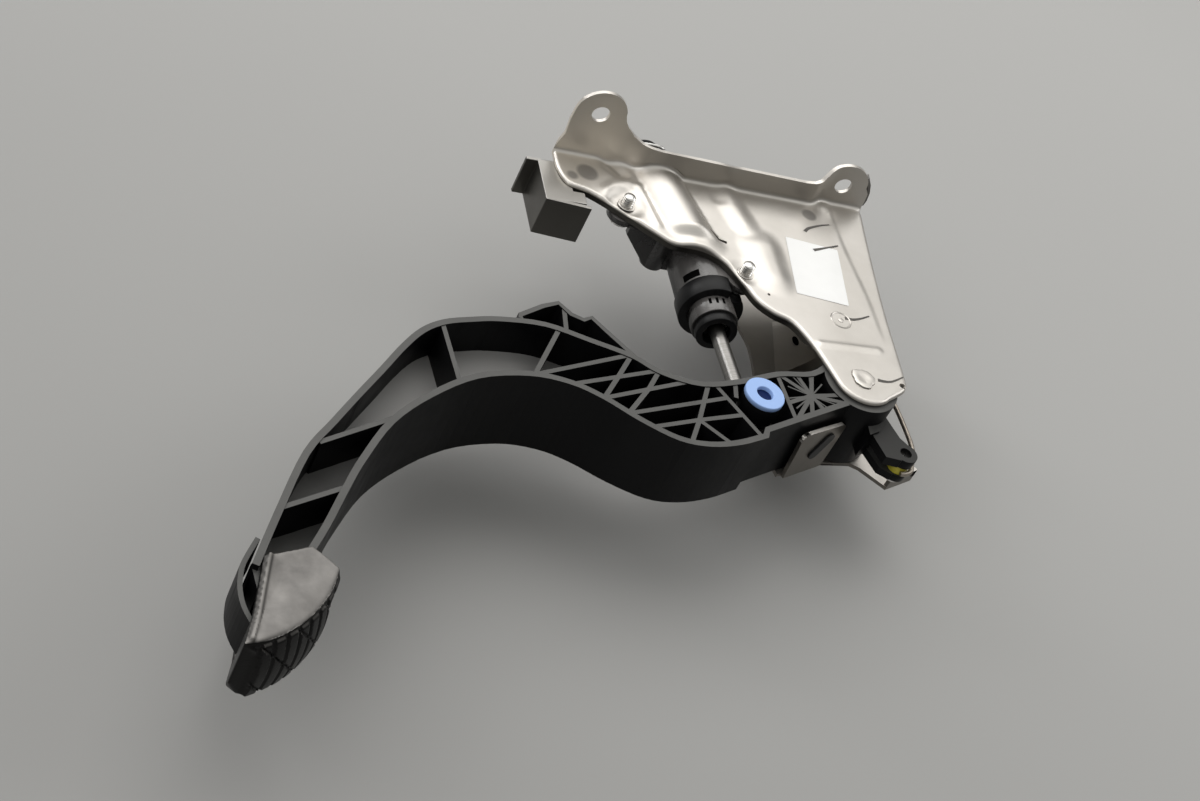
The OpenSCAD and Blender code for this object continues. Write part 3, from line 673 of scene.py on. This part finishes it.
def plate_mesh():
    """The plate with its turned-down edge."""
    front = spaced(FRONT, 1.6)
    rear_x = [34 - 171 * k / 114 for k in range(1, 114)]
    rear = [(x, float(flange_face(x))) for x in rear_x]
    left, right = side_lines(SLIT, SLIT_WIDTH)
    holes = [hole((20.6, -1.4), 1.7, 12), hole((-38.5, 47.5), 0.8, 10), left + right[::-1]]
    flat, faces, where = filled(front + rear, holes, 1.25, (0.25, 0.7, 1.3, 2.1))
    heights = sheet_top(flat[:, 0], flat[:, 1])
    verts = [(float(x), float(y), float(z)) for (x, y), z in zip(flat, heights)]
    rims = []
    for i, (x, y) in enumerate(front):
        top = verts[where[i]]
        low = min(top[2] - 0.1, TOP - lip_depth(x, y))
        row = [where[i]]
        for part in (0.5, 1.0):
            verts.append((top[0], top[1], top[2] + part * (low - top[2])))
            row.append(len(verts) - 1)
        rims.append(row)
    for a, b in zip(rims, rims[1:]):
        for k in (0, 1):
            faces.append((b[k], a[k], a[k + 1], b[k + 1]))
    return verts, faces, rear_x


def flange_outline(rear_x):
    """The outline of the flange with its two ears, as x and z."""
    low = TOP + BEND
    left_ear, right_ear = EAR_HOLES
    bottom = [(-137.0, low)] + [(x, low) for x in rear_x[::-1]] + [(34.0, low)]
    upper = ([(34.2, 25), (33.4, 30)] + arc(right_ear, EAR_RADIUS, 5, 150, 22)
             + [(4.5, 34.6), (1, 33.2), (-4, 32.6), (-40, 33.2), (-85, 34.2), (-96, 35.4), (-101, 37.5),
                (-105.5, 41.5), (-108, 45)]
             + arc(left_ear, EAR_RADIUS, 8, 178, 24) + [(-135.3, 40), (-134.6, 31), (-136, 26)])
    return bottom + spaced(upper, 1.6)


def flange_mesh(rear_x):
    """The flange, filled as x and z and bent into place."""
    low = TOP + BEND
    holes = [hole(place, EAR_HOLE_RADIUS) for place in EAR_HOLES]
    flat, faces, _ = filled(flange_outline(rear_x), holes, 1.5, (0.8,))
    x, z = flat[:, 0], flat[:, 1]
    y = flange_face(x)
    foot = sheet_top(x, y) - low
    part = np.clip((FLANGE_TOP - z) / (FLANGE_TOP - low), 0, 1)
    narrow = 1.6 * np.exp(-((x + 46) / 4.5) ** 2) * part * (1 - part) * 2
    wide = 0.8 * np.exp(-((x + 78) / 12) ** 2) * part
    y = np.where(z < low + 1e-6, flange_face(x), y - narrow - wide)
    verts = np.stack([x, y, z + foot * part], 1)
    return [tuple(float(c) for c in v) for v in verts], faces


def upper_sheet():
    """The plate and the flange as one sheet."""
    verts, faces, rear_x = plate_mesh()
    more, others = flange_mesh(rear_x)
    faces += [tuple(i + len(verts) for i in f) for f in others]
    sheet = piece("upper_sheet", verts + more, faces, LIP_ZINC, "bracket", bevel=0.3,
                  solid=SHEET)
    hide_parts("upper_bracket")


def on_sheet(name, outline, lift, material, step=1.5):
    """A thin skin that follows the sheet."""
    flat, faces, _ = filled(outline, [], step)
    top = sheet_top(flat[:, 0], flat[:, 1]) + lift
    verts = [(float(x), float(y), float(z)) for (x, y), z in zip(flat, top)]
    return piece(name, verts, faces, material, "bracket")


# Painted shade of short tapered slits along the right side: how far each stands off the sheet, and its
# line
SLIT_SHADES = ((0.12, [(-5.4, 99.3), (-2.8, 102), (1.5, 104.4), (6, 106.4), (10.9, 108)]),
               (0.24, [(-4, 86), (-0.5, 87.4), (4, 89.4), (11.7, 92.7)]),
               (0.12, [(0.9, 39.8), (5, 39.6), (10, 41.2), (15.5, 44)]),
               (0.12, [(7.6, 0.2), (11.5, -0.2), (16, 0.8), (22.8, 4.8)]))


def slit_shades():
    """Dark skins of painted shade for the slits, wide at their start and narrow at their end."""
    for i, (lift, points) in enumerate(SLIT_SHADES):
        line = smooth(points, 4)
        last = len(line) - 1
        left, right = side_lines(line, [1.9 - 1.2 * k / last for k in range(last + 1)])
        on_sheet("score_mark_%d" % (i + 1), right + left[::-1], lift, SLIT_SHADE_TONE, 0.8)


def label():
    """The bare white label, with clipped corners."""
    quad = [(-22.3, 51.9), (5.6, 48.8), (10.3, 89.2), (-18.2, 92.4)]
    outline = []
    for i, (x, y) in enumerate(quad):
        for other, t in ((quad[i - 1], 0.04), (quad[i - 1], 0.012), (quad[(i + 1) % 4], 0.012),
                         (quad[(i + 1) % 4], 0.04)):
            outline.append((x + t * (other[0] - x), y + t * (other[1] - y)))
    film = on_sheet("label_film", outline, 0.16, LABEL)
    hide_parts("blank_label")


def stud(name, place):
    """A stud with its square-edged head below the cylinder's lug and its thread above the plate."""
    profile = [(0.3, 9.6), (5.4, 9.6), (5.6, 9.8), (5.6, 11.9), (3.0, 12.0), (3.0, 19.6)]
    for k in range(4):
        z = 19.8 + 1.25 * k
        profile += [(3.05, z), (3.05, z + 0.3), (2.25, z + 0.65), (2.25, z + 0.85)]
    profile += [(2.9, 24.7), (2.2, 25.3), (0.3, 25.4)]
    verts, faces = lathe(profile, place, 32)
    whole = piece(name, verts, faces, STEEL, "bracket")
    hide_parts(name.replace("stud_", "cylinder_stud_"))
    rim = [(3.3, 19.0), (4.2, 19.2), (4.4, 19.5), (4.1, 19.75), (3.4, 19.7), (3.2, 19.4)]
    verts, faces = lathe(rim, place, 32)
    piece(name + "_rim", verts, faces, ZINC, "bracket")


def pivot_pin():
    """The pivot pin with its round lower head and its swaged upper end, uneven all round."""
    def wobble(a, height):
        """The share by which the upper end is wider or narrower at an angle."""
        if height <= TOP - 1:
            return 1
        return 1 + 0.06 * sin(3 * a + 0.6) + 0.04 * sin(5 * a + 2) + 0.02 * sin(9 * a)
    profile = [(0.3, -26), (7.6, -26), (8, -25.6), (8, -22.3), (7.6, -22), (PIN_RADIUS, -22),
               (PIN_RADIUS, 19.4), (5.9, 19.5), (6.1, 20.0), (5.8, 20.7), (4.8, 21.0), (2.6, 20.7),
               (0.3, 20.6)]
    verts, faces = lathe(profile, PIN_CENTRE, 60, wobble)
    pin = piece("swaged_pin", verts, faces, ZINC, "bracket")
    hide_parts("pivot_pin")


def clinch_ring():
    """A round joint pressed into the sheet."""
    rim = [(4.5, 19.6), (4.7, 20.1), (5.2, 20.35), (5.6, 20.1), (5.8, 19.6)]
    middle = [(1.3, 19.6), (1.5, 20.15), (0.9, 20.3), (0.2, 20.3)]
    for name, profile in (("clinch_rim", rim), ("clinch_middle", middle)):
        verts, faces = lathe(profile, CLINCH, 48)
        piece(name, verts, faces, ZINC, "bracket")


def pin_bore():
    """The bottom of the rod pin's bore, darkened as painted shade."""
    profile = [(3.0, 16.6), (4.05, 16.8), (4.05, 17.2), (3.9, 17.5), (0.3, 17.4)]
    verts, faces = lathe(profile, ROD_PIN, 32)
    piece("pin_bore", verts, faces, BORE_SHADE_BLUE, "pedal")


def bar_mesh(a, b, width, low, high):
    """A straight upright rib between two plan points."""
    dx, dy = b[0] - a[0], b[1] - a[1]
    half = 0.5 * width / hypot(dx, dy)
    plan = [(a[0] + dy * half, a[1] - dx * half), (b[0] + dy * half, b[1] - dx * half),
            (b[0] - dy * half, b[1] + dx * half), (a[0] - dy * half, a[1] + dx * half)]
    verts = [(x, y, z) for z in (low, high) for x, y in plan]
    faces = [(3, 2, 1, 0), (4, 5, 6, 7)] + [(k, (k + 1) % 4, (k + 1) % 4 + 4, k + 4) for k in range(4)]
    return verts, faces


# Radii just outside the cylinder's housing and its guide sleeve
ON_HOUSING = 14.95
ON_SLEEVE = 11.62


def on_barrel(radius, y, angle, width, length, name):
    """A thin skin on the cylinder, painted as the shade in a rectangular recess. Its width is an angle."""
    turns = [radians(angle + width * (k / 6 - 0.5)) for k in range(7)]
    verts = [(CYLINDER_X + radius * cos(a), y + side * length / 2, radius * sin(a))
             for side in (-1, 1) for a in turns]
    faces = [(k, k + 7, k + 8, k + 1) for k in range(6)]
    piece(name, verts, faces, RECESS_SHADE, "bracket")


def barrel_slots():
    """The slot in the housing and the three notches in the sleeve, as painted shade."""
    on_barrel(ON_HOUSING, 64.0, 141, 34, 4.2, "barrel_slot")
    for i, angle in enumerate((84, 101, 118)):
        on_barrel(ON_SLEEVE, 47.2, angle, 6.5, 3.4, "sleeve_notch_%d" % (i + 1))


def ear_fold():
    """The narrow fold along the outer edge of the right ear."""
    rows = []
    for x, z in ((34, 21.5), (34.3, 25), (33.5, 30), (31.5, 35), (28.5, 39.5)):
        rows.append([(x - 0.6, 126.2, z), (x + 1.6, 127.2, z - 0.3), (x + 2.4, 131, z - 0.6)])
    verts = [spot for row in rows for spot in row]
    faces = [(3 * i + k, 3 * i + k + 1, 3 * i + k + 4, 3 * i + k + 3) for i in range(4) for k in (0, 1)]
    piece("ear_fold", verts, faces, SHADED_ZINC, "bracket", bevel=0.2, solid=1.6)


def raised_face():
    """The sloping face pressed up in the lower plate, with its oval slot drawn as painted shade."""
    right = 4.5
    outline = [(-19.5, 34), (right, 47), (right, 73), (-11.5, 73)]
    oval = [(-3.2 + 1.5 * cos(a), 58.9 + 3.2 * sin(a)) for a in (pi * k / 12 for k in range(24))]
    skins = (("raised_face", outline, 0.15, ZINC), ("oval_slot", oval, 0.35, RECESS_SHADE))
    for name, loop, lift, material in skins:
        flat, faces, _ = filled(loop, [], 1.5)
        verts = []
        for x, y in flat:
            fold = -19.5 + 0.205 * (y - 34)
            rise = 4.6 * np.clip((x - fold) / (right - fold), 0, 1)
            verts.append((float(x), float(y), float(LOWER_PLATE + lift + rise)))
        piece(name, verts, faces, material, "bracket")


# The angle and the length of each thin ray
RAYS = ((10, 13), (48, 12), (80, 13), (122, 14), (160, 12), (196, 13), (223, 14), (262, 11), (292, 9),
        (318, 9.5), (345, 12))


def star_rays():
    """The thin ribs between the main ones of the star beside the hub."""
    verts, faces = [], []
    for angle, reach in RAYS:
        end = (STAR[0] + reach * cos(radians(angle)), STAR[1] + reach * sin(radians(angle)))
        more, others = bar_mesh(STAR, end, 0.9, -1.5, 16.4)
        faces += [tuple(i + len(verts) for i in f) for f in others]
        verts += more
    piece("star_rays", verts, faces, ARM, "pedal", bevel=0.2)


# Springs

TURN = 30               # points in one turn of a coil


def return_spring():
    """The spring inside the cylinder, which the piston presses together."""
    low, high = 76.8, 111.2
    count = 4 * TURN
    path = []
    for i in range(count + 1):
        a = 2 * pi * i / TURN
        path.append((CYLINDER_X + 6 * cos(a), low + (high - low) * i / count, 6 * sin(a)))
    verts, faces = wire_mesh(path, 0.65)
    spring = piece("return_spring", verts, faces, SPRING, "bracket")
    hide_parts("cylinder_spring")
    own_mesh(spring)


def helper_spring():
    """The over-centre spring: a hook on the tail, a long leg, a coil beside the hub and a foot."""
    top = -1.5
    hook = [(x, y, top) for x, y in arc(TAIL, 6.65, -100, -10, 9)]
    bends = [(27.5, -31.2), (30.4, -26), (31.8, -17), (31.4, -5), (30.6, 5), (28.4, 20), (27, 31)]
    leg = [(x, y, top) for x, y in smooth(bends, 5)[2:-2]]
    coil = []
    for i in range(3 * TURN + 16):
        a = 2 * pi * i / TURN
        coil.append((17 + 10 * cos(a), 33 + 10 * sin(a), top - 2.8 * i / TURN))
    low = coil[-1][2]
    foot = smooth([(7, 40, low), (7, 55, low), (7, 60.5, low - 0.5), (7, 62, low - 3), (7, 62, -22)], 4)
    verts, faces = wire_mesh(hook + leg + coil + foot, 1.25)
    spring = piece("helper_spring", verts, faces, SPRING, None)
    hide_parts("over_centre_spring")
    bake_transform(spring)


# The pad: two points on the line along its face, the sphere that its face lies on, two lines in plan and
# the sizes of its tread

PAD_START = Vector((-267.2, -147.9))
PAD_END = Vector((-299.5, -183.4))
CROWN = Vector((-323.95, -127.36, -3.0))
CROWN_R = 63.0
PAD_TOP = [(-269, -146), (-282, -138.5), (-291, -138), (-296.4, -141.1), (-306, -184), (-295, -173),
           (-284, -159), (-273, -148), (-269, -146)]
PAD_RIDGE = [(-288.5, -140.6), (-294.3, -142.6), (-296.6, -155), (-299.8, -170.5), (-303.0, -181.5)]
RIB_PITCH = 6.0
RIB_LENGTH = 21.0


def applied(obj):
    """The object's mesh after its modifiers, as points in millimetres from the pivot, and faces."""
    shown = obj.evaluated_get(bpy.context.evaluated_depsgraph_get())
    mesh = shown.to_mesh()
    points = np.array([tuple(obj.matrix_world @ v.co) for v in mesh.vertices])
    faces = [tuple(f.vertices) for f in mesh.polygons]
    shown.to_mesh_clear()
    return (points - np.array(PIVOT)) / MM, faces


def tread(along, across):
    """The height of the tread's ribs, which are broken in slanting rows."""
    column = along / RIB_PITCH
    row = (across - 1.25 * along + 4) / RIB_LENGTH
    in_column = np.abs((column % 1) - 0.5) * RIB_PITCH
    in_row = np.abs((row % 1) - 0.5) * RIB_LENGTH
    rib = step_up(-in_column, -2.7, -1.9) * step_up(-in_row, -10.2, -9.3)
    nib = step_up(in_column, 2.3, 2.8) * step_up(in_row, 9.6, 10.2)
    return 0.9 * rib + 0.75 * nib


def smooth_pad():
    """The CAD pad without its ribs, in a fine even mesh with soft edges."""
    mesh = nodes["pad_cover"].data.copy()
    mesh.transform(nodes["pad_cover"].matrix_world)
    bm = bmesh.new()
    bm.from_mesh(mesh)
    bmesh.ops.remove_doubles(bm, verts=bm.verts, dist=2e-6)
    crown = at_pivot(*CROWN)
    for v in bm.verts:
        reach = v.co - crown
        if reach.length > CROWN_R * MM:
            v.co = crown + reach.normalized() * CROWN_R * MM
    bm.to_mesh(mesh)
    bm.free()
    draft = bpy.data.objects.new("pad_draft", mesh)
    scene.collection.objects.link(draft)
    grid = draft.modifiers.new("grid", "REMESH")
    grid.mode = "VOXEL"
    grid.voxel_size = 0.62 * MM
    soft = draft.modifiers.new("soft", "SMOOTH")
    soft.factor = 0.5
    soft.iterations = 7
    points, faces = applied(draft)
    bpy.data.objects.remove(draft)
    return points, faces


def shaped(points):
    """The pad's points with its tread, its ridge, its hood and the slight dish of its top."""
    way = (PAD_END - PAD_START).normalized()
    x, y, z = points.T
    along = (x - PAD_START.x) * way.x + (y - PAD_START.y) * way.y
    away = points - np.array(CROWN)
    reach = np.linalg.norm(away, axis=1)
    mask = step_up(reach, CROWN_R - 0.9, CROWN_R - 0.25) * step_up(z, -20, -17.5) * step_up(-z, -15.5, -13)
    corner = step_up(reach, CROWN_R - 7, CROWN_R - 1) * step_up(-along, -14, 2) * step_up(-z, -14.5, -9)
    points += away / reach[:, None] * (mask * tread(along, z + 20) - 2.4 * corner)[:, None]
    rise = step_up(z, 14.5, 16.5) * step_up(-distance(x, y, PAD_RIDGE), -1.7, -0.3)
    hood = step_up(y, -156, -140) * step_up(z, 8, 15)
    dish = step_up(z, 15.8, 16.4) * step_up(distance(x, y, PAD_TOP), 0.8, 10)
    points[:, 2] -= 1.6 * dish
    return points + (np.outer(hood, (1.2, 4.6, 1.1)) + np.outer(rise, (0, 0, 1.2)))


def rubber_pad():
    """The pad's rubber."""
    points, faces = smooth_pad()
    verts = [tuple(float(c) for c in p) for p in shaped(points)]
    cover = piece("pad_rubber", verts, faces, PAD, "pedal")
    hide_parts("pad_cover")


upper_sheet()
slit_shades()
label()
stud("stud_rear", REAR_STUD)
stud("stud_front", FRONT_STUD)
pivot_pin()
clinch_ring()
pin_bore()
star_rays()
barrel_slots()
ear_fold()
raised_face()
return_spring()
helper_spring()
rubber_pad()


# Floor, light and camera


def floor():
    """A pale grey table with painted light, paler towards the right and the back."""
    bpy.ops.mesh.primitive_plane_add(size=8.0, location=(0, 0, cad_box[0][2] - 0.5 * MM))
    plane = bpy.context.object
    plane.name = "floor"
    s = Shader("floor_grey")
    # A painted light falloff across the table
    tones = [(0.0, (0.297, 0.294, 0.288)), (0.5, (0.385, 0.382, 0.375)), (1.0, (0.43, 0.427, 0.419))]
    s.wear(s.ramp(s.along((0.765, 0.644, 0), -0.49, 0.49), tones), s.remap(s.noise(3.0, 2.0), 0.57, 0.63))
    plane.data.materials.append(s.mat)


def area_light(name, place, aim, size, energy, colour=(1, 1, 1)):
    """A rectangular lamp that looks at a point."""
    data = bpy.data.lights.new(name, "AREA")
    data.shape = "RECTANGLE"
    data.size, data.size_y = size
    data.energy = energy
    data.color = colour
    lamp = bpy.data.objects.new(name, data)
    scene.collection.objects.link(lamp)
    lamp.location = place
    lamp.rotation_euler = (Vector(aim) - Vector(place)).to_track_quat("-Z", "Y").to_euler()


def camera():
    """The photo's viewpoint."""
    data = bpy.data.cameras.new("camera")
    data.lens = LENS
    data.sensor_width = 36.0
    data.clip_end = 50.0
    cam = bpy.data.objects.new("camera", data)
    scene.collection.objects.link(cam)
    look = (CAMERA_AIM - CAMERA_AT).to_track_quat("-Z", "Y").to_matrix().to_4x4()
    cam.matrix_world = Matrix.Translation(CAMERA_AT) @ look @ Matrix.Rotation(CAMERA_ROLL, 4, "Z")
    scene.camera = cam


def world():
    """A room with a pale ceiling and darker walls."""
    w = bpy.data.worlds.new("room")
    scene.world = w
    w.use_nodes = True
    tree = w.node_tree
    background = tree.nodes["Background"]
    way = tree.nodes.new("ShaderNodeTexCoord").outputs["Generated"]
    parts = tree.nodes.new("ShaderNodeSeparateXYZ")
    tree.links.new(way, parts.inputs["Vector"])
    band = tree.nodes.new("ShaderNodeValToRGB")
    elements = band.color_ramp.elements
    stops = ((0.0, 0.22), (0.25, 0.16), (0.50, 0.62), (1.0, 0.85))
    while len(elements) < len(stops):
        elements.new(0.5)
    for element, (place, grey) in zip(elements, stops):
        element.position = place
        element.color = (grey, grey, 0.97 * grey, 1)
    tree.links.new(parts.outputs["Z"], band.inputs["Fac"])
    tree.links.new(band.outputs["Color"], background.inputs["Color"])
    background.inputs["Strength"].default_value = 0.75


floor()
world()
camera()
area_light("ceiling", (-0.2, 0.9, 1.5), (-0.15, -0.1, 0), (2.2, 1.5), 19.0, (1, 0.99, 0.97))
area_light("window", (-1.3, 1.0, 0.75), (-0.08, -0.05, -0.03), (0.45, 0.8), 6.0)
area_light("side", (1.3, 0.2, 0.9), (-0.1, -0.1, 0), (0.8, 0.8), 4.0)
area_light("fill", (-1.1, -0.5, 0.75), (-0.1, -0.08, -0.03), (0.9, 0.5), 2.5)

scene.view_settings.view_transform = "Standard"
scene.view_settings.look = "None"
